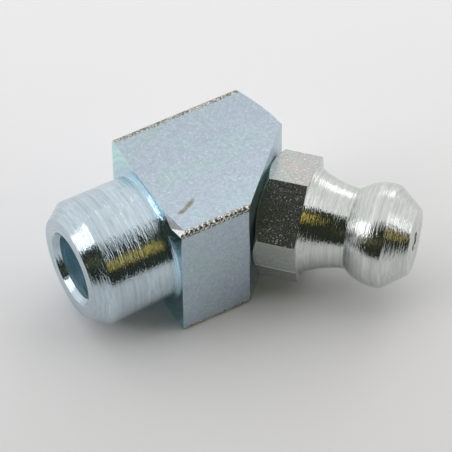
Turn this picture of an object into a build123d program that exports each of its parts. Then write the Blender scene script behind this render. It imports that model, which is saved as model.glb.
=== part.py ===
from build123d import *
from math import cos, radians, sin, sqrt, tan
import os

# Angled drive-in grease nipple with a cone head, all lengths in millimetres and angles in degrees.
#
# The origin is on the spigot's axis, in the plane of the shoulder. +X runs from the shoulder into the
# block, so the spigot points along -X. The nipple leaves the block along +X and -Y. The block lies on
# one flat side of its square bar, with +Z up. Both axes are in the plane Z = 0.

# ---- Elbow block: square bar, turned at both ends, milled at one corner and drilled ----
BAR_WIDTH = 9.1  # across the flats of the square bar
BAR_OFFSET = 0.08  # the bar's centre lies this far from the spigot's axis, towards +Y
BAR_EDGE_RADIUS = 0.26  # rounding of the drawn bar's long edges
BLOCK_LENGTH = 10.0  # from the shoulder to the faced far end
END_FACE_RADIUS = 4.3  # flat disc left on the far end by its turned cone
END_CONE_ANGLE = 30.0  # slope of that cone against the end face

# ---- Milled elbow face and the hole that takes the nipple ----
ELBOW_ANGLE = 45.0  # between the nipple's axis and the spigot's axis
FRONT_LENGTH = 4.73  # flat left on the front side, from the shoulder to the milled face
NIPPLE_OFFSET = 3.84  # along the milled face, from its front edge to the nipple's axis
THREAD_CLEARANCE = 0.03  # radial, between the shank and its hole
SHANK_END_GAP = 0.3  # between the shank's end and the full depth of the hole
DRILL_POINT_ANGLE = 118.0  # included angle of both drilled ends

# ---- Drive-in spigot and grease way ----
SPIGOT_DIAMETER = 8.2  # pressed into an 8 mm hole
SPIGOT_LENGTH = 5.5  # from the shoulder to the spigot's end
SPIGOT_LEAD_LENGTH = 1.05  # tapered lead-in
SPIGOT_END_DIAMETER = 6.6  # end of the lead-in
SPIGOT_ROOT_RELIEF = 0.2  # small cone that the tool's corner leaves at the shoulder
BORE_DIAMETER = 4.3  # grease way
BORE_COUNTERSINK_DIAMETER = 4.9  # at the mouth
BORE_COUNTERSINK_DEPTH = 0.4
BORE_OVERRUN = 0.6  # the drill's point passes the floor of the nipple's hole by this much

# ---- Nipple: hexagon bar, turned all over but for its six flats ----
THREAD_DIAMETER = 6.0  # shank, drawn plain at the thread's outer diameter
SHANK_LENGTH = 4.1  # from the milled face to the shank's end
SHANK_CHAMFER = 0.4
HEX_ACROSS_FLATS = 6.95
HEX_HEIGHT = 2.83
HEX_CORNER_ANGLE = 10.0  # from +Z to the nearest corner, turned about the nipple's axis
HEX_CHAMFER_ANGLE = 30.0  # slope of the chamfer on the side that faces the block
SEAT_DIAMETER = 6.7  # ring of the hexagon that sits on the milled face
NECK_ROOT_DIAMETER = 6.84  # where the neck flares out into the hexagon
NECK_DIAMETER = 5.1  # waist, behind the head
NECK_LENGTH = 2.77  # from the hexagon to the waist
NECK_SCOOP_RADIUS = 6.3  # hollow of the neck, along the axis
HEAD_LENGTH = 2.45  # barrel, from the waist to the nose cone
HEAD_DIAMETER = 6.56  # where the barrel meets the nose cone
HEAD_CROWN_RADIUS = 3.02  # swell of the barrel, along the axis
NOSE_LENGTH = 1.5  # nose cone
NOSE_DIAMETER = 4.24  # flat end of the nose

# ---- Check valve inside the nipple ----
VALVE_BORE_DIAMETER = 2.9
INLET_DIAMETER = 1.2  # hole in the nose that the coupler feeds
INLET_LENGTH = 0.08  # straight part of that hole, so that the ball lies flush with the nose
BALL_SEAT_ANGLE = 45.0  # half angle of the conical seat
BALL_DIAMETER = 2.5
BALL_SEAT_GAP = 0.03  # the ball is drawn this far down from its seat, along the axis
REAR_LIP_DIAMETER = 1.8  # rolled-in end of the shank, which holds the spring
REAR_LIP_LENGTH = 0.3
SPRING_WIRE_DIAMETER = 0.25
SPRING_MEAN_DIAMETER = 2.0
SPRING_ACTIVE_TURNS = 6.5  # open turns, between one closed turn at each end
SPRING_WIRE_SIDES = 6  # the round wire is drawn six-sided, so that its many turns stay light
SPRING_CLOSED_GAP = 0.02  # between the wires of a closed turn
SPRING_END_GAP = 0.03  # between the wire and what it bears on, at each end

# ---- Frame of the nipple ----
# The milled face starts at the front edge and runs up along face_direction. The nipple's own Z is its
# axis, pointing out of the block, and its own X is the part's +Z, so its hexagon is set from there.
elbow = radians(ELBOW_ANGLE)
nipple_axis = Vector(cos(elbow), -sin(elbow), 0)
face_direction = Vector(sin(elbow), cos(elbow), 0)
front_edge = Vector(FRONT_LENGTH, BAR_OFFSET - BAR_WIDTH / 2, 0)
seat_centre = front_edge + face_direction * NIPPLE_OFFSET
nipple_plane = Plane(origin=seat_centre, x_dir=(0, 0, 1), z_dir=nipple_axis)

# ---- Stations along the nipple's axis, from the milled face ----
neck_station = HEX_HEIGHT + NECK_LENGTH
head_station = neck_station + HEAD_LENGTH
nose_station = head_station + NOSE_LENGTH
hole_depth = SHANK_LENGTH + SHANK_END_GAP


def drill_point(radius):
    """Length of the cone that a drill of this radius leaves at the end of its hole."""
    return radius / tan(radians(DRILL_POINT_ANGLE / 2))


def turned(outline, axis):
    """Solid of revolution of a closed outline, whose edges lie in the plane of the axis."""
    return revolve(make_face(outline), axis)


def turned_bar():
    """Square bar with a plain shoulder, and its far end faced to a cone."""
    section = Pos(BAR_OFFSET, 0) * RectangleRounded(BAR_WIDTH, BAR_WIDTH, BAR_EDGE_RADIUS)
    bar = extrude(Plane.YZ * section, BLOCK_LENGTH)
    corner_radius = BAR_WIDTH / sqrt(2) + BAR_OFFSET
    end_cone = (corner_radius - END_FACE_RADIUS) * tan(radians(END_CONE_ANGLE))
    outline = Polyline(
        (0, 0),
        (0, corner_radius),
        (BLOCK_LENGTH - end_cone, corner_radius),
        (BLOCK_LENGTH, END_FACE_RADIUS),
        (BLOCK_LENGTH, 0),
        close=True,
    )
    return bar & turned(outline, Axis.X)


def spigot():
    """Plain spigot with a tapered lead-in, and the small cone where it meets the shoulder."""
    radius = SPIGOT_DIAMETER / 2
    outline = Polyline(
        (0, 0),
        (-SPIGOT_LENGTH, 0),
        (-SPIGOT_LENGTH, SPIGOT_END_DIAMETER / 2),
        (-SPIGOT_LENGTH + SPIGOT_LEAD_LENGTH, radius),
        (-SPIGOT_ROOT_RELIEF, radius),
        (0, radius + SPIGOT_ROOT_RELIEF),
        close=True,
    )
    return turned(outline, Axis.X)


def grease_way():
    """Drilled hole from the spigot's end into the nipple's hole, with a countersunk mouth."""
    radius = BORE_DIAMETER / 2
    floor_on_axis = seat_centre.X - (hole_depth + seat_centre.Y * sin(elbow)) / cos(elbow)
    tip = floor_on_axis + BORE_OVERRUN
    outline = Polyline(
        (-SPIGOT_LENGTH, 0),
        (-SPIGOT_LENGTH, BORE_COUNTERSINK_DIAMETER / 2),
        (-SPIGOT_LENGTH + BORE_COUNTERSINK_DEPTH, radius),
        (tip - drill_point(radius), radius),
        (tip, 0),
        close=True,
    )
    return turned(outline, Axis.X)


def nipple_hole():
    """Blind hole for the shank, square to the milled face, in the nipple's own frame."""
    radius = THREAD_DIAMETER / 2 + THREAD_CLEARANCE
    outline = Polyline(
        (0, 0, 0),
        (radius, 0, 0),
        (radius, 0, -hole_depth),
        (0, 0, -hole_depth - drill_point(radius)),
        close=True,
    )
    return turned(outline, Axis.Z)


def make_elbow_block():
    """One-piece block: turned bar and spigot, milled elbow face, grease way and nipple hole."""
    blank = turned_bar() + spigot()
    milled = split(blank, bisect_by=nipple_plane, keep=Keep.BOTTOM)
    return milled - grease_way() - nipple_plane * nipple_hole()


def hexagon():
    """Wrench flats, chamfered all round on the side that faces the block."""
    flats = RegularPolygon(HEX_ACROSS_FLATS / 2, 6, major_radius=False, rotation=HEX_CORNER_ANGLE)
    seat_radius = SEAT_DIAMETER / 2
    chamfer_reach = HEX_HEIGHT / tan(radians(HEX_CHAMFER_ANGLE))
    chamfer = Cone(
        seat_radius,
        seat_radius + chamfer_reach,
        HEX_HEIGHT,
        align=(Align.CENTER, Align.CENTER, Align.MIN),
    )
    return extrude(flats, HEX_HEIGHT) & chamfer


def turned_nipple():
    """Shank, waisted neck, barrel head and nose cone on one axis."""
    shank_radius = THREAD_DIAMETER / 2
    neck_root = (NECK_ROOT_DIAMETER / 2, 0, HEX_HEIGHT)
    waist = (NECK_DIAMETER / 2, 0, neck_station)
    crown = (HEAD_DIAMETER / 2, 0, head_station)
    shank = Polyline(
        (0, 0, nose_station),
        (0, 0, -SHANK_LENGTH),
        (shank_radius - SHANK_CHAMFER, 0, -SHANK_LENGTH),
        (shank_radius, 0, -SHANK_LENGTH + SHANK_CHAMFER),
        (shank_radius, 0, HEX_HEIGHT),
        neck_root,
    )
    neck = arc_between(neck_root, waist, -NECK_SCOOP_RADIUS)
    barrel = arc_between(waist, crown, HEAD_CROWN_RADIUS)
    nose = Polyline(crown, (NOSE_DIAMETER / 2, 0, nose_station), (0, 0, nose_station))
    return turned(shank + neck + barrel + nose, Axis.Z)


def arc_between(start, end, radius):
    """Arc in the plane Y = 0 that bulges away from the Z axis, or towards it for a negative radius."""
    chord = Vector(*end) - Vector(*start)
    rise = abs(radius) - sqrt(radius**2 - (chord.length / 2) ** 2)
    outward = Vector(chord.Z, 0, -chord.X).normalized()
    middle = (Vector(*start) + Vector(*end)) / 2
    return ThreePointArc(start, middle + outward * (rise if radius > 0 else -rise), end)


def valve_bore():
    """Through bore of the nipple: rolled-in rear lip, spring bore, conical ball seat and inlet."""
    bore_radius = VALVE_BORE_DIAMETER / 2
    inlet_radius = INLET_DIAMETER / 2
    lip_radius = REAR_LIP_DIAMETER / 2
    lip_station = -SHANK_LENGTH + REAR_LIP_LENGTH
    seat_top = nose_station - INLET_LENGTH
    seat_length = (bore_radius - inlet_radius) / tan(radians(BALL_SEAT_ANGLE))
    outline = Polyline(
        (0, 0, -SHANK_LENGTH),
        (lip_radius, 0, -SHANK_LENGTH),
        (lip_radius, 0, lip_station),
        (bore_radius, 0, lip_station),
        (bore_radius, 0, seat_top - seat_length),
        (inlet_radius, 0, seat_top),
        (inlet_radius, 0, nose_station),
        (0, 0, nose_station),
        close=True,
    )
    return turned(outline, Axis.Z)


def make_nipple():
    """Nipple body, seated on the milled face by the ring under its hexagon."""
    return nipple_plane * (turned_nipple() + hexagon() - valve_bore())


def ball_station():
    """Place of the ball's centre along the nipple's axis, just clear of its seat."""
    half_angle = radians(BALL_SEAT_ANGLE)
    cone_tip = nose_station - INLET_LENGTH + INLET_DIAMETER / 2 / tan(half_angle)
    return cone_tip - BALL_DIAMETER / 2 / sin(half_angle) - BALL_SEAT_GAP


def make_check_ball():
    """Ball that closes the inlet from inside."""
    return nipple_plane * Pos(0, 0, ball_station()) * Sphere(BALL_DIAMETER / 2)


def coil(turns, pitch, station, start_angle):
    """Centre line of some turns of the spring, from a station on the nipple's axis."""
    path = Helix(pitch=pitch, height=turns * pitch, radius=SPRING_MEAN_DIAMETER / 2, center=(0, 0, station))
    return (Rot(0, 0, start_angle) * path).edge()


def make_valve_spring():
    """Compression spring with one closed turn at each end, from the rear lip to the ball."""
    wire_radius = SPRING_WIRE_DIAMETER / 2
    reach = BALL_DIAMETER / 2 + wire_radius + SPRING_END_GAP
    bottom = -SHANK_LENGTH + REAR_LIP_LENGTH + wire_radius + SPRING_END_GAP
    top = ball_station() - sqrt(reach**2 - (SPRING_MEAN_DIAMETER / 2) ** 2)
    closed_pitch = SPRING_WIRE_DIAMETER + SPRING_CLOSED_GAP
    active_pitch = (top - bottom - 2 * closed_pitch) / SPRING_ACTIVE_TURNS
    path = Wire(
        [
            coil(1, closed_pitch, bottom, 0),
            coil(SPRING_ACTIVE_TURNS, active_pitch, bottom + closed_pitch, 0),
            coil(1, closed_pitch, top - closed_pitch, 360 * SPRING_ACTIVE_TURNS),
        ]
    )
    section = Plane(origin=path @ 0, z_dir=path % 0) * RegularPolygon(wire_radius, SPRING_WIRE_SIDES)
    return nipple_plane * sweep(section, path=path)


PIECES = {
    "elbow_block": make_elbow_block(),
    "nipple": make_nipple(),
    "check_ball": make_check_ball(),
    "valve_spring": make_valve_spring(),
}

os.makedirs("parts", exist_ok=True)
for name, piece in PIECES.items():
    piece.label = name
    export_step(piece, f"parts/{name}.step")
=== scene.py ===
import logging
from bisect import bisect_left
from dataclasses import dataclass, field
from enum import Enum
from math import atan2, cos, hypot, pi, radians, sin, sqrt, tan
from typing import Callable, Iterable

import bmesh
import bpy
from mathutils import Matrix, Vector


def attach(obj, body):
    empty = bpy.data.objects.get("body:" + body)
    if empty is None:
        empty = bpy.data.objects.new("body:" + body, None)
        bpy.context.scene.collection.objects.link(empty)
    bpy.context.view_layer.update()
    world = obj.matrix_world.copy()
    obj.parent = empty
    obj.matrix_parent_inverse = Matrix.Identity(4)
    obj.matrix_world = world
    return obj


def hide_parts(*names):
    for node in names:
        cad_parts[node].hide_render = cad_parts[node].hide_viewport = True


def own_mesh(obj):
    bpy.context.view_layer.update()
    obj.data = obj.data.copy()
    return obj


# Looks of an angled drive-in grease nipple with a cone head: a zinc-plated elbow block with a turned
# spigot, and a plated cone-head nipple with its check ball and spring. Sizes are in millimetres, as in
# the model, and each mesh is turned into metres once it is shaped.

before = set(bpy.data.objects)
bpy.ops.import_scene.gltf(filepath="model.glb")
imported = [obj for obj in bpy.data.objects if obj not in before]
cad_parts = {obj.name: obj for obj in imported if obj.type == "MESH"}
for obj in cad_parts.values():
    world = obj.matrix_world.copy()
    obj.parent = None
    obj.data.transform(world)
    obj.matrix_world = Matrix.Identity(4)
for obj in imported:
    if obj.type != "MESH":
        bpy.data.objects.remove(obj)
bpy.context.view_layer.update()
MM = 0.001
STEEL_SHARP_ANGLE = radians(6)  # an edge that turns by more than this is shaded as an edge
EASED_ANGLE = radians(16)  # an outward edge that turns by more than this is rounded
MERGE_DISTANCE = 1e-5
CUT_DISTANCE = 1e-4
UPWARDS = Vector((0, 0, 1))

log = logging.getLogger("grease_nipple")

Socket = bpy.types.NodeSocket
Piece = bpy.types.Object
Shape = bmesh.types.BMesh
Vert = bmesh.types.BMVert
Edge = bmesh.types.BMEdge
Pair = tuple[float, float]
RingPlace = Callable[[float], Pair]
Triple = tuple[float, float, float]


# ---------------------------------------------------------------- colours, nodes and materials


def linear(hex_colour: str) -> tuple[float, float, float, float]:
    """Turns an sRGB hex colour into the linear colour that a shader takes.

    Args:
        hex_colour: six hex digits, such as "c4d0d4".

    Returns:
        Red, green, blue and an alpha of 1, linear.
    """
    channels = [int(hex_colour[i : i + 2], 16) / 255 for i in (0, 2, 4)]
    red, green, blue = (c / 12.92 if c <= 0.04045 else ((c + 0.055) / 1.055) ** 2.4 for c in channels)
    return (red, green, blue, 1.0)


def per_metre(size_mm: float) -> float:
    """Texture scale whose cells are this many millimetres wide."""
    return 1 / (size_mm * MM)


class NodeBench:
    """Node tree in the making."""

    def __init__(self, tree: bpy.types.NodeTree) -> None:
        """Empties the tree that the nodes go into."""
        self.tree = tree
        tree.nodes.clear()

    def add(
        self, kind: str, inputs: dict[str | int, object] | None = None, **settings: object
    ) -> bpy.types.bpy_prop_collection:
        """Adds a node, sets it and feeds its inputs.

        Args:
            kind: Blender's name of the node's type, without its leading ShaderNode.
            inputs: by name or number, the value of each input or the socket that feeds it.
            settings: properties of the node itself.

        Returns:
            The new node's outputs.
        """
        node = self.tree.nodes.new("ShaderNode" + kind)
        for name, value in settings.items():
            setattr(node, name, value)
        for socket, value in (inputs or {}).items():
            if isinstance(value, Socket):
                self.tree.links.new(value, node.inputs[socket])
            else:
                node.inputs[socket].default_value = value
        return node.outputs


@dataclass(frozen=True)
class Finish:
    """What a surface is and how it was made. Its patterns read object coordinates, as place."""

    name: str

    def build(self) -> bpy.types.Material:
        """Builds the material.

        Returns:
            The new material.
        """
        material = bpy.data.materials.new(self.name)
        material.use_nodes = True
        nodes = NodeBench(material.node_tree)
        surface = self.surface(nodes, nodes.add("TexCoord")["Object"])
        nodes.add("OutputMaterial", {"Surface": surface})
        return material

    def surface(self, nodes: NodeBench, place: Socket) -> Socket:
        """Adds the shader and what feeds it, in each kind of finish."""
        raise NotImplementedError


def relieved_metal(nodes: NodeBench, colour: Socket, height: Socket, roughness: float) -> Socket:
    """Adds bare metal with a relief.

    Args:
        nodes: the material's nodes.
        colour: the metal's colour.
        height: relief, in millimetres.
        roughness: how much the metal blurs what it mirrors.

    Returns:
        Shader socket.
    """
    bump = nodes.add("Bump", {"Strength": 1.0, "Distance": MM, "Height": height})[0]
    metal = {"Metallic": 1.0, "Roughness": roughness, "Base Color": colour, "Normal": bump}
    return nodes.add("BsdfPrincipled", metal)[0]


class Lay(Enum):
    """Direction that tool marks run in or turn about, as the turn about Z that takes it to +X."""

    BAR = 0.0
    NIPPLE = radians(45)
    MILLED_FACE = radians(-45)


@dataclass(frozen=True)
class Stain:
    """One dried drop on the top flat, as a stretched spot."""

    x: float
    y: float
    angle: float  # degrees from +X
    length: float
    width: float


@dataclass(frozen=True)
class FlatZinc(Finish):
    """Passivated zinc on cold-drawn or milled steel.

    A drawn bar comes out of its die even and softly bright, with scuffed, darker corners. The plate
    lies on it as fine raised crystals, which tint it faintly; their glints are painted highlight on the
    brightest grains. Milling leaves close straight lines.
    """

    lay: Lay
    colour: str
    lilac_tint: str
    green_tint: str
    roughness: float = 0.3
    grain_mm: float = 0.11  # real crystals are far finer; this is the finest grain that shows
    mottle_mm: float = 0.22
    tint_mm: float = 1.7
    line_mm: float = 0.16
    line_stretch: float = 0.03  # width of a tool line over its length
    grain_depth: float = 0.0035
    glint_depth: float = 0.01
    line_depth: float = 0.0008
    # strength of the painted highlight on the brightest grains
    painted_sparkle: float = 0.32
    half_width: float = 0.0  # of the bar whose corners are scuffed, or 0 for none
    centre_y: float = 0.0
    scuff_mm: float = 0.34
    scuff_lean: float = 0.08  # how much further the scuffs reach at the back corners
    scuff_colour: str = "a3a59f"
    scuff_back: float = 0.7  # how strong the scuffs at the back are against those at the front
    nick_mm: float = 0.34  # spacing of the nicks along a scuffed corner
    nick_depth: float = 0.06
    painted_back_shade: float = 0.0  # how much painted shade darkens the flats from the front to the back of the bar
    seam_z: float | None = None  # height of a drawing seam, below which the flat gets painted shade, or none
    seam_width: float = 0.11
    seam_colour: str = "f4f4f0"
    stain_colour: str = "8d8a78"
    stains: tuple[Stain, ...] = ()

    def surface(self, nodes: NodeBench, place: Socket) -> Socket:
        """Adds the shader and what feeds it.

        Args:
            nodes: the material's nodes.
            place: object coordinates.

        Returns:
            Shader socket.
        """
        turned = nodes.add(
            "VectorRotate", {"Angle": self.lay.value, "Vector": place}, rotation_type="Z_AXIS"
        )[0]
        stretched = nodes.add("Mapping", {"Scale": (self.line_stretch, 1.0, 1.0), "Vector": turned})[0]
        grain, mottle, lines = (
            nodes.add("TexNoise", {"Scale": per_metre(size), "Vector": vector, **noise})[0]
            for size, vector, noise in (
                (self.grain_mm, place, {"Detail": 2.0, "Roughness": 0.6}),
                (self.mottle_mm, place, {"Detail": 3.0, "Roughness": 0.65}),
                (self.line_mm, stretched, {"Detail": 2.0}),
            )
        )
        crystals = nodes.add(
            "MapRange",
            {"Value": mottle, "From Min": 0.3, "From Max": 0.7, "To Min": 0.87, "To Max": 1.11},
        )[0]
        # painted highlight: the brightest grains are lightened in colour, and also raised in the relief
        glints = nodes.add(
            "MapRange",
            {"Value": grain, "From Min": 0.62, "From Max": 0.74, "To Min": 0.0, "To Max": self.painted_sparkle},
        )[0]
        shade = nodes.add("Math", {0: crystals, 1: glints}, operation="ADD")[0]
        # painted shade: the flats are darkened towards the back of the bar
        if self.painted_back_shade:
            depth = nodes.add("SeparateXYZ", {0: place})[1]
            painted_shade = self.from_front(nodes, depth, 1.0 - self.painted_back_shade)
            shade = nodes.add("Math", {0: shade, 1: painted_shade}, operation="MULTIPLY")[0]
        tinted = self.tints(nodes, place)
        colour = nodes.add("VectorMath", {0: tinted, "Scale": shade}, operation="SCALE")[0]
        height = nodes.add("Math", {0: lines, 1: self.line_depth}, operation="MULTIPLY")[0]
        for pattern, depth in ((grain, self.grain_depth), (glints, self.glint_depth)):
            height = nodes.add("Math", {0: pattern, 1: depth, 2: height}, operation="MULTIPLY_ADD")[0]
        if self.half_width:
            colour, height = self.scuffed(nodes, place, grain, colour, height)
        # painted shade on the flat below the seam
        if self.seam_z is not None:
            colour, height = self.seamed_with_painted_shade(nodes, place, colour, height)
        for stain in self.stains:
            mask = self.stain_mask(nodes, place, grain, stain)
            dried = linear(self.stain_colour)
            colour = nodes.add("Mix", {0: mask, 6: colour, 7: dried}, data_type="RGBA")[2]
        return relieved_metal(nodes, colour, height, self.roughness)

    def from_front(self, nodes: NodeBench, depth: Socket, at_back: float) -> Socket:
        """Adds a factor that runs with depth along Y, from 1 at the bar's front to at_back at its back."""
        ends = {"From Min": -self.half_width * MM, "From Max": self.half_width * MM}
        return nodes.add("MapRange", {"Value": depth, "To Min": 1.0, "To Max": at_back, **ends})[0]

    def tints(self, nodes: NodeBench, place: Socket) -> Socket:
        """Adds the faint drift of colour that a thin passivation has.

        Args:
            nodes: the material's nodes.
            place: object coordinates.

        Returns:
            Colour socket.
        """
        wide = {"Scale": per_metre(self.tint_mm), "Detail": 2.0, "Roughness": 0.5, "Vector": place}
        tints = nodes.add("ValToRGB", {"Fac": nodes.add("TexNoise", wide)[0]})[0]
        ramp = tints.node.color_ramp
        ramp.elements[0].position, ramp.elements[0].color = 0.36, linear(self.lilac_tint)
        ramp.elements[1].position, ramp.elements[1].color = 0.64, linear(self.green_tint)
        ramp.elements.new(0.5).color = linear(self.colour)
        return tints

    def scuffed(
        self, nodes: NodeBench, place: Socket, grain: Socket, colour: Socket, height: Socket
    ) -> tuple[Socket, Socket]:
        """Adds the dull speckle and the row of nicks along the bar's long corners.

        Args:
            nodes: the material's nodes.
            place: object coordinates.
            grain: grain noise.
            colour: colour of the flats.
            height: relief of the flats, in millimetres.

        Returns:
            Colour and relief with the corners scuffed.
        """
        axes = nodes.add("SeparateXYZ", {0: place})
        middle = (self.centre_y - self.scuff_lean) * MM
        shifted = nodes.add("Math", {0: axes[1], 1: middle}, operation="SUBTRACT")[0]
        across, upward = (
            nodes.add("Math", {0: side}, operation="ABSOLUTE")[0] for side in (shifted, axes[2])
        )
        nearer = nodes.add("Math", {0: across, 1: upward}, operation="MINIMUM")[0]
        starts, full = ((self.half_width - self.scuff_mm * part) * MM for part in (1.15, 0.85))
        corner = nodes.add("MapRange", {"Value": nearer, "From Min": starts, "From Max": full})[0]
        speckle = nodes.add(
            "MapRange",
            {"Value": grain, "From Min": 0.36, "From Max": 0.62, "To Min": 0.3, "To Max": 2.3},
        )[0]
        strength = self.from_front(nodes, axes[1], self.scuff_back)
        speckled = nodes.add("Math", {0: speckle, 1: strength}, operation="MULTIPLY")[0]
        scuff = linear(self.scuff_colour)[:3]
        dull = nodes.add("VectorMath", {0: scuff, "Scale": speckled}, operation="SCALE")[0]
        mixed = nodes.add("Mix", {0: corner, 6: colour, 7: dull}, data_type="RGBA")[2]
        cut = nodes.add(
            "TexWave",
            {
                "Vector": place,
                "Scale": per_metre(self.nick_mm) * pi / 10,
                "Distortion": 4.0,
                "Detail": 3.0,
                "Detail Scale": 1.6,
            },
            wave_type="BANDS",
            bands_direction="X",
            wave_profile="SIN",
        )[1]
        fading = nodes.add("Math", {0: strength, 1: strength}, operation="MULTIPLY")[0]
        for factor in (fading, corner):
            cut = nodes.add("Math", {0: cut, 1: factor}, operation="MULTIPLY")[0]
        deep = {0: cut, 1: self.nick_depth, 2: height}
        return mixed, nodes.add("Math", deep, operation="MULTIPLY_ADD")[0]

    def seamed_with_painted_shade(
        self, nodes: NodeBench, place: Socket, colour: Socket, height: Socket
    ) -> tuple[Socket, Socket]:
        """Adds the seam that the die left along a flat, as a thin bright line, with painted shade below it.

        Args:
            nodes: the material's nodes.
            place: object coordinates.
            colour: colour of the flats.
            height: relief of the flats, in millimetres.

        Returns:
            Colour and relief with the seam, the colour darkened below it as painted shade.
        """
        seam, half = self.seam_z * MM, self.seam_width / 2
        upward = nodes.add("SeparateXYZ", {0: place})[2]
        ends = {"From Min": (self.seam_z - self.seam_width) * MM, "From Max": seam}
        # painted shade: below the seam the flat is darkened to 0.62 of its colour, like the shadow that it
        # mirrors
        below = nodes.add("MapRange", {"Value": upward, "To Min": 0.62, "To Max": 1.0, **ends})[0]
        painted_shade = nodes.add("VectorMath", {0: colour, "Scale": below}, operation="SCALE")[0]
        on_seam = nodes.add("Math", {0: upward, 1: seam, 2: half * MM}, operation="COMPARE")[0]
        bright_seam_line = {0: on_seam, 6: painted_shade, 7: linear(self.seam_colour)}
        bright = nodes.add("Mix", bright_seam_line, data_type="RGBA")[2]
        return bright, nodes.add("Math", {0: below, 1: half, 2: height}, operation="MULTIPLY_ADD")[0]

    def stain_mask(self, nodes: NodeBench, place: Socket, grain: Socket, stain: Stain) -> Socket:
        """Adds the mask of one dried drop.

        Args:
            nodes: the material's nodes.
            place: object coordinates.
            grain: grain noise, which breaks the stain's outline.
            stain: place and size of the drop.

        Returns:
            Socket that runs from 0 off the stain to 1 on it.
        """
        centre = (stain.x * MM, stain.y * MM, self.half_width * MM)
        turn = {"Center": centre, "Angle": -radians(stain.angle), "Vector": place}
        turned = nodes.add("VectorRotate", turn, rotation_type="Z_AXIS")[0]
        offset = nodes.add("VectorMath", {0: turned, 1: centre}, operation="SUBTRACT")[0]
        long, wide = per_metre(stain.length / 2), per_metre(stain.width / 2)
        spread = nodes.add("VectorMath", {0: offset, 1: (long, wide, long)}, operation="MULTIPLY")[0]
        reach = nodes.add("VectorMath", {0: spread}, operation="LENGTH")["Value"]
        frayed = nodes.add("Math", {0: reach, 1: grain}, operation="ADD")[0]
        faded = {"Value": frayed, "From Min": 1.75, "From Max": 0.95, "To Min": 0.0, "To Max": 0.95}
        return nodes.add("MapRange", faded)[0]


@dataclass(frozen=True)
class TurnedZinc(Finish):
    """Plated steel that was turned on a lathe.

    The tool left fine rings round the axis, uneven where its rubbing varied, and the thin plate follows
    them, so light breaks up into rings and the edges of a reflection look saw-toothed. The brightest
    ring tops are painted highlights, mixed towards white.
    """

    colour: str
    lay: Lay
    origin: Triple
    tint: str
    roughness: float = 0.12
    ring_mm: float = 0.2
    ring_depth: float = 0.045
    fine_mm: float = 0.07  # chatter between the rings
    fine_depth: float = 0.012
    unevenness_mm: float = 1.6  # how far a ring runs before it changes
    painted_glint_colour: str = "f6f8f8"  # painted highlight on the brightest ring tops
    root_colour: str = ""  # where passivate pooled at the shoulder, or none
    rim_colour: str = ""
    root_radius: float = 4.3
    rim_radius: float = 5.0

    def surface(self, nodes: NodeBench, place: Socket) -> Socket:
        """Adds the shader and what feeds it.

        Args:
            nodes: the material's nodes.
            place: object coordinates.

        Returns:
            Shader socket.
        """
        origin = [c * MM for c in self.origin]
        centred = nodes.add("VectorMath", {0: place, 1: origin}, operation="SUBTRACT")[0]
        turned = nodes.add(
            "VectorRotate", {"Angle": self.lay.value, "Vector": centred}, rotation_type="Z_AXIS"
        )[0]
        axes = nodes.add("SeparateXYZ", {0: turned})
        across = nodes.add("CombineXYZ", {1: axes[1], 2: axes[2]})[0]
        radius = nodes.add("VectorMath", {0: across}, operation="LENGTH")["Value"]
        patches = {"Scale": per_metre(self.unevenness_mm), "Detail": 1.0, "Vector": place}
        uneven = nodes.add("TexNoise", patches)[0]
        drift = nodes.add("Math", {0: uneven, 1: 3 * self.ring_mm * MM}, operation="MULTIPLY")[0]
        lathe = nodes.add("CombineXYZ", {0: axes[0], 1: radius, 2: drift})[0]
        close = {"Scale": per_metre(self.ring_mm), "Detail": 3.0, "Roughness": 0.7, "Vector": lathe}
        rings = nodes.add("TexNoise", close)[0]
        along = nodes.add("Mapping", {"Scale": (1.0, 0.3, 0.3), "Vector": turned})[0]
        fine = nodes.add("TexNoise", {"Scale": per_metre(self.fine_mm), "Detail": 2.0, "Vector": along})[0]
        shade = nodes.add(
            "MapRange",
            {"Value": rings, "From Min": 0.3, "From Max": 0.7, "To Min": 0.84, "To Max": 1.2},
        )[0]
        plain = {0: uneven, 6: linear(self.colour), 7: linear(self.tint)}
        colour = nodes.add("Mix", plain, data_type="RGBA")[2]
        if self.root_colour:
            colour = self.pooled(nodes, colour, axes[0], radius)
        shaded = nodes.add("VectorMath", {0: colour, "Scale": shade}, operation="SCALE")[0]
        # painted highlight: the brightest ring tops are mixed towards white, as glints
        painted_glints = nodes.add(
            "MapRange", {"Value": rings, "From Min": 0.64, "From Max": 0.72, "To Max": 0.4}
        )[0]
        glint_mix = {0: painted_glints, 6: shaded, 7: linear(self.painted_glint_colour)}
        glinted_colour = nodes.add("Mix", glint_mix, data_type="RGBA")[2]
        chatter = nodes.add("Math", {0: fine, 1: self.fine_depth}, operation="MULTIPLY")[0]
        cut = {0: rings, 1: self.ring_depth, 2: chatter}
        relief = nodes.add("Math", cut, operation="MULTIPLY_ADD")[0]
        return relieved_metal(nodes, glinted_colour, relief, self.roughness)

    def pooled(self, nodes: NodeBench, colour: Socket, station: Socket, radius: Socket) -> Socket:
        """Tints the root of the spigot and the shoulder, where the passivate stood and dried.

        Args:
            nodes: the material's nodes.
            colour: colour elsewhere.
            station: distance along the axis, in metres.
            radius: distance from the axis, in metres.

        Returns:
            Colour socket.
        """
        root = {"Value": station, "From Min": -0.6 * MM, "From Max": -0.1 * MM}
        rising = nodes.add("MapRange", root)[0]
        shoulder = nodes.add("Math", {0: station, 1: 0.0, 2: MM}, operation="COMPARE")[0]
        depth = nodes.add("Math", {0: rising, 1: shoulder}, operation="MULTIPLY")[0]
        edge = {"Value": radius, "From Min": self.root_radius * MM, "From Max": self.rim_radius * MM}
        rim = nodes.add("MapRange", edge)[0]
        pools = {0: rim, 6: linear(self.root_colour), 7: linear(self.rim_colour)}
        pool = nodes.add("Mix", pools, data_type="RGBA")[2]
        return nodes.add("Mix", {0: depth, 6: colour, 7: pool}, data_type="RGBA")[2]


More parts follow.
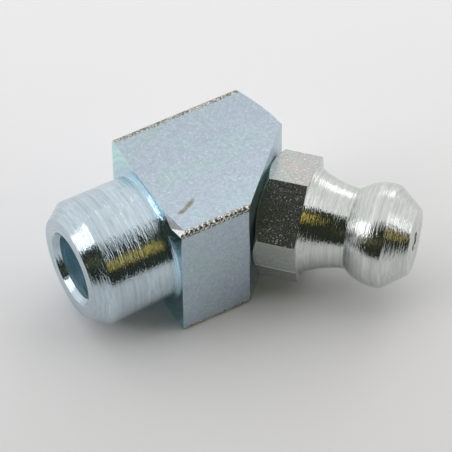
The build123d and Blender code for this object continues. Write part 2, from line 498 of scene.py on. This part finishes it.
@dataclass(frozen=True)
class PolishedSteel(Finish):
    """Hardened steel, ground or drawn smooth: bright, grey, with a faint mottle of oil."""

    colour: str
    roughness: float
    mottle_mm: float = 0.5
    mottle: float = 0.3  # how far the roughness drifts, as a share of itself

    def surface(self, nodes: NodeBench, place: Socket) -> Socket:
        """Adds the shader and what feeds it.

        Args:
            nodes: the material's nodes.
            place: object coordinates.

        Returns:
            Shader socket.
        """
        spots = {"Scale": per_metre(self.mottle_mm), "Detail": 3.0, "Vector": place}
        ends = {"To Min": self.roughness * (1 - self.mottle), "To Max": self.roughness * (1 + self.mottle)}
        gloss = nodes.add("MapRange", {"Value": nodes.add("TexNoise", spots)[0], **ends})[0]
        metal = {"Base Color": linear(self.colour), "Metallic": 1.0, "Roughness": gloss}
        return nodes.add("BsdfPrincipled", metal)[0]


# ---------------------------------------------------------------- shaping


def paint(faces: Iterable[bmesh.types.BMFace], finish: int) -> None:
    """Gives faces a finish, by its number in the piece's list."""
    for face in faces:
        face.material_index = finish


class RingSkin:
    """Surface grown ring by ring round its own X axis, each ring extruded from the last."""

    def __init__(self, mesh: Shape) -> None:
        """Starts the surface.

        Args:
            mesh: bmesh whose edges, in a plane across X, are the first ring.
        """
        self.mesh = mesh
        self.ring = list(mesh.edges)
        self.finish = 0
        self.reaches = sorted((atan2(v.co.z, v.co.y), hypot(v.co.y, v.co.z)) for v in mesh.verts)

    def reach(self, angle: float) -> float:
        """Finds the radius that the first ring had in a direction.

        Args:
            angle: direction in radians from +Y.

        Returns:
            The radius in millimetres.
        """
        at = bisect_left(self.reaches, (angle, 0.0))
        near = self.reaches[max(at - 1, 0) : at + 1]
        return min(near, key=lambda column: abs(column[0] - angle))[1]

    def move_ring(self, place: RingPlace) -> None:
        """Moves the last ring to where place puts each of its directions.

        Args:
            place: gives the station along X and the radius, for a direction in radians from +Y.
        """
        for vertex in {v for edge in self.ring for v in edge.verts}:
            angle = atan2(vertex.co.z, vertex.co.y)
            station, radius = place(angle)
            vertex.co = Vector((station, radius * cos(angle), radius * sin(angle)))

    def extrude(self) -> list[Vert]:
        """Extrudes the last ring in its place, in the current finish.

        Returns:
            The new ring's vertices.
        """
        made = bmesh.ops.extrude_edge_only(self.mesh, edges=self.ring)["geom"]
        fresh = [item for item in made if isinstance(item, Vert)]
        self.ring = [item for item in made if isinstance(item, Edge) and set(item.verts) <= set(fresh)]
        paint({face for edge in self.ring for face in edge.link_faces}, self.finish)
        return fresh

    def grow(self, place: RingPlace) -> None:
        """Extrudes the last ring and moves the new one to where place puts its directions."""
        self.extrude()
        self.move_ring(place)

    def turned(self, *points: Pair) -> None:
        """Grows round rings through these stations and radii."""
        for station, radius in points:
            self.grow(lambda _angle, s=station, r=radius: (s, r))

    def close_to_point(self, station: float) -> None:
        """Extrudes the last ring and gathers it into one point on the axis."""
        bmesh.ops.pointmerge(self.mesh, verts=self.extrude(), merge_co=(station, 0, 0))
        self.ring = []


def all_parts(mesh: Shape) -> list[object]:
    """Every vertex, edge and face of a mesh."""
    return [*mesh.verts, *mesh.edges, *mesh.faces]


def turn(mesh: Shape, angle: float, axis: str) -> None:
    """Turns a whole mesh about one axis of its frame."""
    bmesh.ops.rotate(mesh, verts=mesh.verts, cent=(0, 0, 0), matrix=Matrix.Rotation(angle, 3, axis))


def ring_across_x(segments: int, radius: float) -> Shape:
    """Starts a shape with a circle that lies across X.

    Args:
        segments: number of points.
        radius: radius in millimetres.

    Returns:
        A new bmesh with the circle.
    """
    mesh = bmesh.new()
    bmesh.ops.create_circle(mesh, segments=segments, radius=radius)
    turn(mesh, pi / 2, "Y")
    return mesh


def tidy_skin(mesh: Shape) -> None:
    """Merges doubled vertices, drops what collapses, and points the faces outwards.

    Args:
        mesh: closed shape, which is changed.
    """
    bmesh.ops.remove_doubles(mesh, verts=mesh.verts, dist=MERGE_DISTANCE)
    bmesh.ops.dissolve_degenerate(mesh, edges=mesh.edges, dist=MERGE_DISTANCE / 10)
    bmesh.ops.recalc_face_normals(mesh, faces=mesh.faces)


def ease_edges(mesh: Shape, edges: list[Edge], offset: float) -> None:
    """Rounds edges by a small amount, as tumbling in the plating barrel does.

    Args:
        mesh: mesh that holds the edges.
        edges: edges to round.
        offset: how far back from the edge the rounding starts, in millimetres.
    """
    bmesh.ops.bevel(
        mesh,
        geom=edges,
        offset=offset,
        offset_type="OFFSET",
        segments=2,
        profile=0.5,
        affect="EDGES",
        clamp_overlap=False,
        material=-1,
    )


def sharp_edges(mesh: Shape) -> list[Edge]:
    """Finds the outward edges that turn by enough to be rounded.

    Args:
        mesh: shape to look through.

    Returns:
        The edges.
    """
    return [
        edge
        for edge in mesh.edges
        if len(edge.link_faces) == 2 and edge.is_convex and edge.calc_face_angle(0.0) > EASED_ANGLE
    ]


def link_object(name: str, data: bpy.types.ID) -> Piece:
    """Makes an object and links it into the scene.

    Args:
        name: name of the object.
        data: the mesh, lamp or camera that it shows.

    Returns:
        The new object.
    """
    made = bpy.data.objects.new(name, data)
    bpy.context.scene.collection.objects.link(made)
    return made


def mesh_object(name: str, mesh: Shape, finishes: list[Finish]) -> Piece:
    """Turns a bmesh in millimetres into a shaded object in metres, and frees the bmesh.

    Args:
        name: name of the object and its mesh.
        mesh: finished shape, in its place.
        finishes: finishes, by the faces' material index.

    Returns:
        The new object, linked into the scene.
    """
    bmesh.ops.scale(mesh, vec=(MM, MM, MM), verts=mesh.verts)
    for face in mesh.faces:
        face.smooth = True
    for edge in mesh.edges:
        edge.smooth = len(edge.link_faces) != 2 or edge.calc_face_angle(0.0) <= STEEL_SHARP_ANGLE
    data = bpy.data.meshes.new(name)
    mesh.to_mesh(data)
    mesh.free()
    for finish in finishes:
        data.materials.append(finish.build())
    return link_object(name, data)


def cut_away(mesh: Shape, cutter: Shape) -> Shape:
    """Cuts one closed shape out of another.

    Args:
        mesh: shape that is cut, which is freed.
        cutter: shape that is taken away, which is freed.

    Returns:
        A new bmesh of what is left.
    """
    holders = []
    for name, shape in (("uncut", mesh), ("cutter", cutter)):
        data = bpy.data.meshes.new(name)
        shape.to_mesh(data)
        shape.free()
        holders.append(link_object(name, data))
    body, tool = holders
    boolean = body.modifiers.new("cut", "BOOLEAN")
    boolean.operation = "DIFFERENCE"
    boolean.solver = "EXACT"
    boolean.object = tool
    evaluated = body.evaluated_get(bpy.context.evaluated_depsgraph_get())
    left = bmesh.new()
    left.from_mesh(evaluated.to_mesh())
    evaluated.to_mesh_clear()
    for holder in holders:
        data = holder.data
        bpy.data.objects.remove(holder)
        bpy.data.meshes.remove(data)
    return left


# ---------------------------------------------------------------- the pieces


@dataclass
class NippleSeat:
    """Frame of the nipple: where it stands on the block's milled face, and which way it points."""

    elbow_angle: float = 45.0
    front_length: float = 4.73
    front_side: float = -4.47
    nipple_offset: float = 3.84

    @property
    def axis(self) -> Vector:
        """Direction of the nipple, out of the block."""
        elbow = radians(self.elbow_angle)
        return Vector((cos(elbow), -sin(elbow), 0))

    @property
    def up_face(self) -> Vector:
        """Direction along the milled face, from its front edge."""
        return UPWARDS.cross(self.axis)

    @property
    def centre(self) -> Vector:
        """Where the nipple's axis meets the milled face."""
        return Vector((self.front_length, self.front_side, 0)) + self.up_face * self.nipple_offset

    @property
    def placing(self) -> Matrix:
        """Matrix that takes a shape turned about X to the nipple's place, with its Y upwards."""
        columns = Matrix((self.axis, UPWARDS, self.axis.cross(UPWARDS))).transposed()
        return Matrix.Translation(self.centre) @ columns.to_4x4()


@dataclass
class ElbowBlock:
    """Square bar turned at both ends, milled at one corner and drilled for the nipple."""

    seat: NippleSeat
    bar_width: float = 9.1
    bar_offset: float = 0.08
    edge_radius: float = 0.26
    length: float = 10.0
    end_radius: float = 4.3
    cone_angle: float = 30.0
    relief: float = 0.2
    spigot_radius: float = 4.1
    spigot_length: float = 5.5
    lead_length: float = 1.05
    lead_radius: float = 3.3
    bore_radius: float = 2.15
    countersink_radius: float = 2.45
    countersink_depth: float = 0.4
    bore_tip: float = 3.5775
    drill_angle: float = 118.0
    hole_radius: float = 3.03
    hole_depth: float = 4.4
    hole_segments: int = 96
    cutter_start: float = 1.0  # how far outside the milled face the drill starts
    flat_cuts: int = 47
    corner_segments: int = 18
    edge_ease: float = 0.04
    bore_margin: float = 0.05  # edges this close to the bore keep their sharpness
    hole_margin: float = 0.1
    knock: tuple[Triple, ...] = (
        (0.0, -2.12, 4.56),
        (0.0, -3.1, 3.85),
        (0.38, -4.25, 4.56),
        (-0.01, -4.42, 4.28),
    )  # corners of the dent where the shoulder meets the top and front flats
    knock_out: Triple = (-0.4, -0.1, 0.5)
    dent_ends: Pair = (-0.05, 0.5)  # along the bar
    dent_side: float = -2.0
    dent_foot: float = 3.7

    DRAWN = 0
    TURNED = 1
    MILLED = 2
    BORED = 3
    SCRAPED = 4

    def outline(self) -> Shape:
        """Draws the bar's section, with close points round its corners and even ones along its flats.

        Returns:
            A bmesh with the closed outline in the plane across X.
        """
        mesh = bmesh.new()
        bmesh.ops.create_circle(mesh, segments=4, radius=self.bar_width / sqrt(2))
        turn(mesh, pi / 4, "Z")
        turn(mesh, pi / 2, "Y")
        bmesh.ops.bevel(
            mesh,
            geom=list(mesh.verts),
            offset=self.edge_radius,
            offset_type="OFFSET",
            segments=self.corner_segments,
            profile=0.5,
            affect="VERTICES",
            clamp_overlap=True,
            material=-1,
        )
        flats = [edge for edge in mesh.edges if edge.calc_length() > self.bar_width / 2]
        bmesh.ops.subdivide_edges(mesh, edges=flats, cuts=self.flat_cuts)
        bmesh.ops.translate(mesh, verts=mesh.verts, vec=(0, self.bar_offset, 0))
        return mesh

    def drill_point(self, radius: float) -> float:
        """Height of the cone that a drill of this radius leaves."""
        return radius / tan(radians(self.drill_angle / 2))

    def shape(self) -> Shape:
        """Shapes the block.

        Returns:
            The closed shape in its place, in millimetres.
        """
        slope = tan(radians(self.cone_angle))
        skin = RingSkin(self.outline())
        skin.move_ring(lambda _angle: (self.length, self.end_radius))
        bmesh.ops.contextual_create(skin.mesh, geom=skin.ring)
        paint(skin.mesh.faces, self.TURNED)
        skin.finish = self.TURNED
        skin.grow(
            lambda angle: (self.length - (skin.reach(angle) - self.end_radius) * slope, skin.reach(angle))
        )
        skin.finish = self.DRAWN
        skin.grow(lambda angle: (0, skin.reach(angle)))
        skin.finish = self.TURNED
        skin.turned(
            (0, self.spigot_radius + self.relief),
            (-self.relief, self.spigot_radius),
            (-self.spigot_length + self.lead_length, self.spigot_radius),
            (-self.spigot_length, self.lead_radius),
            (-self.spigot_length, self.countersink_radius),
            (-self.spigot_length + self.countersink_depth, self.bore_radius),
        )
        skin.finish = self.BORED
        skin.turned((self.bore_tip - self.drill_point(self.bore_radius), self.bore_radius))
        skin.close_to_point(self.bore_tip)
        mesh = skin.mesh
        tidy_skin(mesh)
        self.mill(mesh)
        for cutter in (self.hole_cutter(), self.dent_cutter()):
            mesh = cut_away(mesh, cutter)
        tidy_skin(mesh)
        eased = [edge for edge in sharp_edges(mesh) if self.is_outside(edge) and not self.in_dent(edge)]
        ease_edges(mesh, eased, self.edge_ease)
        return mesh

    def is_outside(self, edge: Edge) -> bool:
        """Tells whether an edge lies outside the grease way and clear of the nipple's hole.

        Args:
            edge: edge of the block.

        Returns:
            True where it does.
        """
        from_axis = max(hypot(v.co.y, v.co.z) for v in edge.verts)
        from_hole = min((v.co - self.seat.centre).length for v in edge.verts)
        return from_axis > self.bore_radius + self.bore_margin and (
            from_hole > self.hole_radius + self.hole_margin
        )

    def in_dent(self, edge: Edge) -> bool:
        """Tells whether an edge lies on the knocked corner, whose edges stay crisp.

        Args:
            edge: edge of the block.

        Returns:
            True where it does.
        """
        start, end = self.dent_ends
        return all(
            start < v.co.x < end and v.co.y < self.dent_side and v.co.z > self.dent_foot for v in edge.verts
        )

    def dent_cutter(self) -> Shape:
        """Shapes what was knocked off the corner between the shoulder and the top and front flats.

        Returns:
            A closed bmesh in its place.
        """
        mesh = bmesh.new()
        for corner in self.knock:
            bmesh.ops.create_vert(mesh, co=corner)
            bmesh.ops.create_vert(mesh, co=Vector(corner) + Vector(self.knock_out))
        bmesh.ops.convex_hull(mesh, input=mesh.verts)
        bmesh.ops.recalc_face_normals(mesh, faces=mesh.faces)
        paint(mesh.faces, self.SCRAPED)
        return mesh

    def mill(self, mesh: Shape) -> None:
        """Mills the elbow face and fills it.

        Args:
            mesh: closed shape of the turned bar, which is cut.
        """
        cut = bmesh.ops.bisect_plane(
            mesh,
            geom=all_parts(mesh),
            dist=CUT_DISTANCE,
            plane_co=self.seat.centre,
            plane_no=self.seat.axis,
            clear_outer=True,
        )["geom_cut"]
        rim = [item for item in cut if isinstance(item, Edge)]
        paint(bmesh.ops.contextual_create(mesh, geom=rim)["faces"], self.MILLED)
        bmesh.ops.recalc_face_normals(mesh, faces=mesh.faces)

    def hole_cutter(self) -> Shape:
        """Shapes the drill that makes the nipple's hole.

        Returns:
            A closed bmesh in its place.
        """
        mesh = ring_across_x(self.hole_segments, self.hole_radius)
        skin = RingSkin(mesh)
        skin.move_ring(lambda _angle: (self.cutter_start, self.hole_radius))
        bmesh.ops.contextual_create(mesh, geom=skin.ring)
        skin.turned((-self.hole_depth, self.hole_radius))
        skin.close_to_point(-self.hole_depth - self.drill_point(self.hole_radius))
        bmesh.ops.transform(mesh, matrix=self.seat.placing, verts=mesh.verts)
        tidy_skin(mesh)
        paint(mesh.faces, self.BORED)
        return mesh

    def build(self) -> Piece:
        """Builds and dresses the block.

        Returns:
            The finished object, riding on the fitting.
        """
        drawn = FlatZinc(
            "blue_passivated_drawn_bar",
            Lay.BAR,
            "bccbd7",
            "bccad7",
            "bacdd4",
            half_width=self.bar_width / 2,
            centre_y=self.bar_offset,
            # painted shade, darker towards the back of the bar
            painted_back_shade=0.12,
            stains=(Stain(1.62, -2.46, 29, 1.2, 0.34), Stain(0.98, -2.76, 8, 0.62, 0.32)),
        )
        milled = FlatZinc(
            "blue_passivated_milled_face", Lay.MILLED_FACE, "b4cbd0", "b4c4d4", "b9d3cc", line_depth=0.003
        )
        turned = TurnedZinc(
            "blue_passivated_turned_spigot",
            "b9ccd6",
            Lay.BAR,
            (0, 0, 0),
            tint="c2ced6",
            root_colour="b3d0e0",
            rim_colour="bbe2e4",
        )
        # bare scraped metal, painted near white as a highlight so that the knocked facets stay bright
        scraped = FlatZinc(
            "scraped_dent_with_painted_highlight", Lay.BAR, "f2f5f6", "f4f3f6", "f2f6f4", roughness=0.52
        )
        bored = TurnedZinc(
            "blue_passivated_drilled_bore", "c4e0e8", Lay.BAR, (0, 0, 0), tint="b4dcea", roughness=0.4
        )
        finishes = [drawn, turned, milled, bored, scraped]
        piece = mesh_object("plated_elbow_block", self.shape(), finishes)
        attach(piece, "fitting")
        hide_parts("elbow_block")
        return piece


@dataclass
class ConeNipple:
    """Nipple turned from hexagon bar: shank, wrench flats, waisted neck, barrel head and nose cone."""

    seat: NippleSeat
    shank_radius: float = 3.0
    shank_length: float = 4.1
    shank_chamfer: float = 0.4
    across_flats: float = 6.95
    hex_height: float = 2.83
    corner_angle: float = 10.0
    chamfer_angle: float = 30.0
    seat_radius: float = 3.35
    neck_root_radius: float = 3.42
    neck_radius: float = 2.55
    neck_length: float = 2.77
    neck_scoop: float = 6.3
    neck_steps: int = 12
    head_length: float = 2.45
    head_radius: float = 3.28
    head_crown: float = 3.02
    head_steps: int = 16
    nose_length: float = 1.5
    nose_radius: float = 2.12
    bore_radius: float = 1.45
    inlet_radius: float = 0.6
    inlet_length: float = 0.08
    seat_half_angle: float = 45.0
    lip_radius: float = 0.9
    lip_length: float = 0.3
    columns: int = 240
    edge_ease: float = 0.035
    nose_margin: float = 0.1
    seat_margin: float = 0.01  # edges this close to the milled face keep their sharpness

    TURNED = 0
    FLATS = 1

    def hex_radius(self, angle: float) -> float:
        """Distance from the axis to the hexagon's outline, in a direction in radians from its own Y."""
        from_corner = (angle - radians(self.corner_angle)) % (pi / 3)
        return self.across_flats / 2 / cos(from_corner - pi / 6)

    def arc(self, start: Pair, end: Pair, radius: float, steps: int) -> list[Pair]:
        """Points along an arc of the profile, after its start.

        Args:
            start: station and radius of the first point.
            end: station and radius of the last point.
            radius: radius of the arc, negative where the profile is hollow.
            steps: number of points.

        Returns:
            Stations and radii, ending with end.
        """
        first, last = Vector(start), Vector(end)
        chord = last - first
        rise = sqrt(radius**2 - (chord.length / 2) ** 2)
        outward = Vector((-chord.y, chord.x)).normalized()
        if outward.y < 0:
            outward.negate()
        bulge = 1 if radius > 0 else -1
        centre = (first + last) / 2 - outward * rise * bulge
        swing = 2 * atan2(chord.length / 2, rise)
        middle = outward * bulge
        points = []
        for step in range(1, steps + 1):
            along = step / steps - 0.5
            lean = chord.normalized() * sin(along * swing) + middle * cos(along * swing)
            points.append(tuple(centre + lean * abs(radius)))
        return points

    def shape(self) -> Shape:
        """Shapes the nipple.

        Returns:
            The closed shape in its place, in millimetres.
        """
        neck_end = self.hex_height + self.neck_length
        head_end = neck_end + self.head_length
        nose_end = head_end + self.nose_length
        seat_top = nose_end - self.inlet_length
        seat_bottom = seat_top - (self.bore_radius - self.inlet_radius) / tan(radians(self.seat_half_angle))
        mesh = ring_across_x(self.columns, 1.0)
        turn(mesh, radians(self.corner_angle), "X")
        skin = RingSkin(mesh)
        skin.move_ring(lambda _angle: (nose_end, self.inlet_radius))
        shoulder, waist = (head_end, self.head_radius), (neck_end, self.neck_radius)
        root = (self.hex_height, self.neck_root_radius)
        skin.turned(
            (nose_end, self.nose_radius),
            shoulder,
            *self.arc(shoulder, waist, self.head_crown, self.head_steps),
            *self.arc(waist, root, -self.neck_scoop, self.neck_steps),
        )
        skin.grow(lambda angle: (self.hex_height, self.hex_radius(angle)))
        slope = tan(radians(self.chamfer_angle))
        skin.finish = self.FLATS
        skin.grow(
            lambda angle: ((self.hex_radius(angle) - self.seat_radius) * slope, self.hex_radius(angle))
        )
        skin.finish = self.TURNED
        skin.turned(
            (0, self.seat_radius),
            (0, self.shank_radius),
            (-self.shank_length + self.shank_chamfer, self.shank_radius),
            (-self.shank_length, self.shank_radius - self.shank_chamfer),
            (-self.shank_length, self.lip_radius),
            (-self.shank_length + self.lip_length, self.lip_radius),
            (-self.shank_length + self.lip_length, self.bore_radius),
            (seat_bottom, self.bore_radius),
            (seat_top, self.inlet_radius),
            (nose_end, self.inlet_radius),
        )
        tidy_skin(mesh)
        outer = [
            edge
            for edge in sharp_edges(mesh)
            if min(hypot(v.co.y, v.co.z) for v in edge.verts) > self.nose_radius - self.nose_margin
            and min(v.co.x for v in edge.verts) > self.seat_margin
        ]
        ease_edges(mesh, outer, self.edge_ease)
        bmesh.ops.transform(mesh, matrix=self.seat.placing, verts=mesh.verts)
        bmesh.ops.recalc_face_normals(mesh, faces=mesh.faces)
        return mesh

    def build(self) -> Piece:
        """Builds and dresses the nipple.

        Returns:
            The finished object, riding on the fitting.
        """
        turned = TurnedZinc(
            "clear_passivated_turned_nipple", "c7cdcb", Lay.NIPPLE, tuple(self.seat.centre), tint="cbcdc9"
        )
        flats = FlatZinc(
            "clear_passivated_hexagon_flats",
            Lay.NIPPLE,
            "babfbd",
            "c0bdba",
            "b8c0bb",
            roughness=0.2,
            line_mm=0.42,
            grain_depth=0.006,
            line_depth=0.014,
            painted_sparkle=0.8,
            glint_depth=0.004,
            # painted shade on the lower flat, below its seam
            seam_z=-1.44,
        )
        piece = mesh_object("plated_cone_nipple", self.shape(), [turned, flats])
        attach(piece, "fitting")
        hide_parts("nipple")
        return piece


@dataclass
class CheckValve:
    """Ball and spring inside the nipple."""

    seat: NippleSeat
    ball_radius: float = 1.25
    ball_station: float = 8.2722
    ball_subdivisions: int = 5
    wire_radius: float = 0.125
    wire_segments: int = 12
    coil_radius: float = 1.0
    first_station: float = -3.645
    last_station: float = 7.2853
    closed_pitch: float = 0.27
    active_turns: float = 6.5
    lift: float = 1.2
    steps_per_turn: int = 40

    def build_ball(self) -> Piece:
        """Builds and dresses the ball.

        Returns:
            The finished object, riding on its own body.
        """
        mesh = bmesh.new()
        bmesh.ops.create_icosphere(mesh, subdivisions=self.ball_subdivisions, radius=self.ball_radius)
        bmesh.ops.translate(mesh, verts=mesh.verts, vec=(self.ball_station, 0, 0))
        bmesh.ops.transform(mesh, matrix=self.seat.placing, verts=mesh.verts)
        steel = PolishedSteel("ground_bearing_steel", "d6d8d4", 0.32)
        piece = mesh_object("ground_check_ball", mesh, [steel])
        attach(piece, "ball")
        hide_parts("check_ball")
        return piece

    def build_spring(self) -> Piece:
        """Winds and dresses the spring: a closed turn, the open turns and a closed turn.

        Returns:
            The finished object, with a mesh of its own.
        """
        mesh = bmesh.new()
        bmesh.ops.create_circle(mesh, segments=self.wire_segments, radius=self.wire_radius, cap_ends=True)
        bmesh.ops.translate(mesh, verts=mesh.verts, vec=(self.coil_radius, 0, 0))
        turn(mesh, pi / 2, "X")
        start = Matrix.Translation((self.first_station, 0, 0)) @ Matrix.Rotation(pi / 2, 4, "Y")
        bmesh.ops.transform(mesh, matrix=start, verts=mesh.verts)
        rise = self.last_station - self.first_station - 2 * self.closed_pitch
        last = all_parts(mesh)
        for turns, height in ((1, self.closed_pitch), (self.active_turns, rise), (1, self.closed_pitch)):
            steps = round(turns * self.steps_per_turn)
            last = bmesh.ops.spin(
                mesh,
                geom=last,
                cent=(0, 0, 0),
                axis=(1, 0, 0),
                dvec=(height / steps, 0, 0),
                angle=turns * 2 * pi,
                steps=steps,
            )["geom_last"]
        bmesh.ops.transform(mesh, matrix=self.seat.placing, verts=mesh.verts)
        tidy_skin(mesh)
        steel = PolishedSteel("drawn_spring_wire", "a9aaa6", 0.3, mottle_mm=0.2)
        piece = mesh_object("wound_valve_spring", mesh, [steel])
        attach(piece, "fitting")
        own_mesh(piece)
        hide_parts("valve_spring")
        return piece


# ---------------------------------------------------------------- studio


def facing(azimuth: float, elevation: float) -> Vector:
    """Unit vector towards an azimuth, in degrees from -Y towards +X, and an elevation."""
    az, el = radians(azimuth), radians(elevation)
    return Vector((sin(az) * cos(el), -cos(az) * cos(el), sin(el)))


@dataclass
class Softbox:
    """Square lamp that faces the part, given by the direction that it stands in."""

    name: str
    azimuth: float  # degrees from -Y towards +X
    elevation: float
    width: float  # degrees that it spans, seen from the part
    height: float
    brightness: float  # added to the studio's own light, where 1 is white
    distance: float = 0.4  # metres

    def build(self, target: Vector) -> None:
        """Hangs the lamp.

        Args:
            target: point in metres that it faces.
        """
        direction = facing(self.azimuth, self.elevation)
        lamp = bpy.data.lights.new(self.name, "AREA")
        lamp.shape = "RECTANGLE"
        lamp.size = 2 * self.distance * tan(radians(self.width / 2))
        lamp.size_y = 2 * self.distance * tan(radians(self.height / 2))
        lamp.energy = self.brightness * pi * lamp.size * lamp.size_y
        holder = link_object(self.name, lamp)
        aim = direction.to_track_quat("Z", "Y").to_matrix().to_4x4()
        holder.matrix_world = Matrix.Translation(target + direction * self.distance) @ aim
        holder.visible_camera = False


@dataclass(frozen=True)
class WarmPatch:
    """Warmer patch on the dark card, which tints the metal that mirrors it."""

    azimuth: float
    elevation: float
    spread: float  # millimetres
    colour: str


@dataclass(frozen=True)
class DarkFlock(Finish):
    """Flecked dark card with warm patches, which glows evenly so that no lamp shows in it."""

    target: Vector  # metres
    radius: float
    colour: str = "2f342c"
    fleck_mm: float = 3.0
    patches: tuple[WarmPatch, ...] = (WarmPatch(21, 30, 24, "e2c765"), WarmPatch(-57, 31, 24, "757050"))

    def surface(self, nodes: NodeBench, place: Socket) -> Socket:
        """Adds the shader and what feeds it.

        Args:
            nodes: the material's nodes.
            place: object coordinates.

        Returns:
            Shader socket.
        """
        spots = {"Scale": per_metre(self.fleck_mm), "Detail": 3.0, "Roughness": 0.7, "Vector": place}
        flecks = nodes.add("TexNoise", spots)[0]
        levels = {"From Min": 0.38, "From Max": 0.62, "To Min": 0.45, "To Max": 1.7}
        strength = nodes.add("MapRange", {"Value": flecks, **levels})[0]
        colour: object = linear(self.colour)
        for patch in self.patches:
            centre = self.target + facing(patch.azimuth, patch.elevation) * self.radius * MM
            away = nodes.add("VectorMath", {0: place, 1: centre}, operation="DISTANCE")["Value"]
            edge = {"From Min": patch.spread * MM, "From Max": patch.spread * 0.6 * MM}
            warmth = nodes.add("MapRange", {"Value": away, **edge})[0]
            warm = {0: warmth, 6: colour, 7: linear(patch.colour)}
            colour = nodes.add("Mix", warm, data_type="RGBA")[2]
        return nodes.add("Emission", {"Color": colour, "Strength": strength})[0]


@dataclass(frozen=True)
class MattTable(Finish):
    """Matt pale table top: an even surface that shows no pattern, only the object's shadow."""

    colour: str

    def surface(self, nodes: NodeBench, place: Socket) -> Socket:
        """Adds the shader."""
        matt = {"Base Color": linear(self.colour), "Roughness": 0.9, "Specular IOR Level": 0.2}
        return nodes.add("BsdfPrincipled", matt)[0]


@dataclass
class DarkCard:
    """Dark card behind the camera, cut from a dome, which the plated steel mirrors as dark bands."""

    target: Vector  # metres
    floor_height: float
    radius: float = 120.0
    dome_segments: tuple[int, int] = (96, 64)
    right_edge: tuple[Pair, ...] = ((41, 33), (12, 72))  # azimuths and elevations
    left_edge: tuple[Pair, ...] = ((-50, 70), (-87, 32))
    top: float = 74.0
    middle: float = -25.0  # azimuth that the card faces

    def shape(self) -> Shape:
        """Cuts the card out of a dome round the part.

        Returns:
            The open shape, in millimetres.
        """
        mesh = bmesh.new()
        across, up = self.dome_segments
        bmesh.ops.create_uvsphere(mesh, u_segments=across, v_segments=up, radius=self.radius)
        centre = self.target / MM
        bmesh.ops.translate(mesh, verts=mesh.verts, vec=centre)
        right, left = (facing(*end).cross(facing(*start)) for start, end in (self.right_edge, self.left_edge))
        for outward, point in (
            (right, centre),
            (left, centre),
            (UPWARDS, centre + UPWARDS * self.radius * sin(radians(self.top))),
            (-UPWARDS, UPWARDS * self.floor_height),
            (-facing(self.middle, 0), centre),
        ):
            bmesh.ops.bisect_plane(
                mesh, geom=all_parts(mesh), plane_co=point, plane_no=outward, clear_outer=True
            )
        return mesh

    def build(self) -> None:
        """Stands the card, hidden from the camera."""
        card = mesh_object("dark_card", self.shape(), [DarkFlock("dark_card", self.target, self.radius)])
        card.visible_camera = False


@dataclass
class Studio:
    """Pale table under an even sky, with soft lamps and a dark card on the side of the camera."""

    target: Vector = field(default_factory=lambda: Vector((0.004, -0.001, 0)))
    floor_height: float = -4.57
    floor_size: float = 3000.0
    floor_colour: str = "f8f8fa"
    sky: str = "fdfcfb"
    softboxes: tuple[Softbox, ...] = (
        Softbox("back_softbox", 125, 26, 26, 22, 1.0),
        Softbox("left_softbox", -106, 35, 30, 20, 1.7),
        Softbox("right_softbox", 54, 33, 26, 12, 0.95),
    )

    def build_sky(self) -> None:
        """Lights the studio evenly from all round."""
        world = bpy.data.worlds.new("even_sky")
        world.use_nodes = True
        nodes = NodeBench(world.node_tree)
        even = nodes.add("Background", {"Color": linear(self.sky), "Strength": 1.0})[0]
        nodes.add("OutputWorld", {"Surface": even})
        bpy.context.scene.world = world

    def build_floor(self) -> None:
        """Lays the pale table."""
        mesh = bmesh.new()
        bmesh.ops.create_grid(mesh, x_segments=1, y_segments=1, size=self.floor_size / 2)
        bmesh.ops.translate(mesh, verts=mesh.verts, vec=(0, 0, self.floor_height))
        floor = mesh_object("table", mesh, [MattTable("matt_white_card", self.floor_colour)])

    def build(self) -> None:
        """Builds the table, the sky, the card and the lamps."""
        self.build_sky()
        self.build_floor()
        DarkCard(self.target, self.floor_height).build()
        for softbox in self.softboxes:
            softbox.build(self.target)


@dataclass
class ViewCamera:
    """Camera on the front left, above the part."""

    azimuth: float = -28.404
    elevation: float = 49.198
    roll: float = -0.761
    distance: float = 232.576
    focal_length: float = 295.9
    sensor: float = 36.0
    right_offset: float = 1.333
    up_offset: float = -0.85
    aim: Triple = (4.0, 0.0, 0.0)
    clip_start: float = 0.01  # metres

    def build(self) -> None:
        """Sets up the camera and makes it the scene's."""
        back = facing(self.azimuth, self.elevation)
        right = (-back).cross(UPWARDS).normalized()
        above = right.cross(-back)
        tilt = radians(self.roll)
        across = right * cos(tilt) + above * sin(tilt)
        upwards = above * cos(tilt) - right * sin(tilt)
        centre = Vector(self.aim) + across * self.right_offset + upwards * self.up_offset
        place = (centre + back * self.distance) * MM
        data = bpy.data.cameras.new("view_camera")
        data.lens = self.focal_length
        data.sensor_width = self.sensor
        data.clip_start = self.clip_start
        camera = link_object("view_camera", data)
        facing_back = Matrix((across, upwards, back)).transposed().to_4x4()
        camera.matrix_world = Matrix.Translation(place) @ facing_back
        bpy.context.scene.camera = camera


def main() -> None:
    """Builds the pieces, the studio and the camera, and reports each piece."""
    logging.basicConfig(level=logging.INFO, format="%(name)s: %(message)s")
    bpy.context.scene.view_settings.view_transform = "Standard"
    seat = NippleSeat()
    valve = CheckValve(seat)
    for piece in (
        ElbowBlock(seat).build(),
        ConeNipple(seat).build(),
        valve.build_ball(),
        valve.build_spring(),
    ):
        log.info("%s: %d faces", piece.name, len(piece.data.polygons))
    Studio().build()
    ViewCamera().build()


if __name__ == "__main__":
    main()
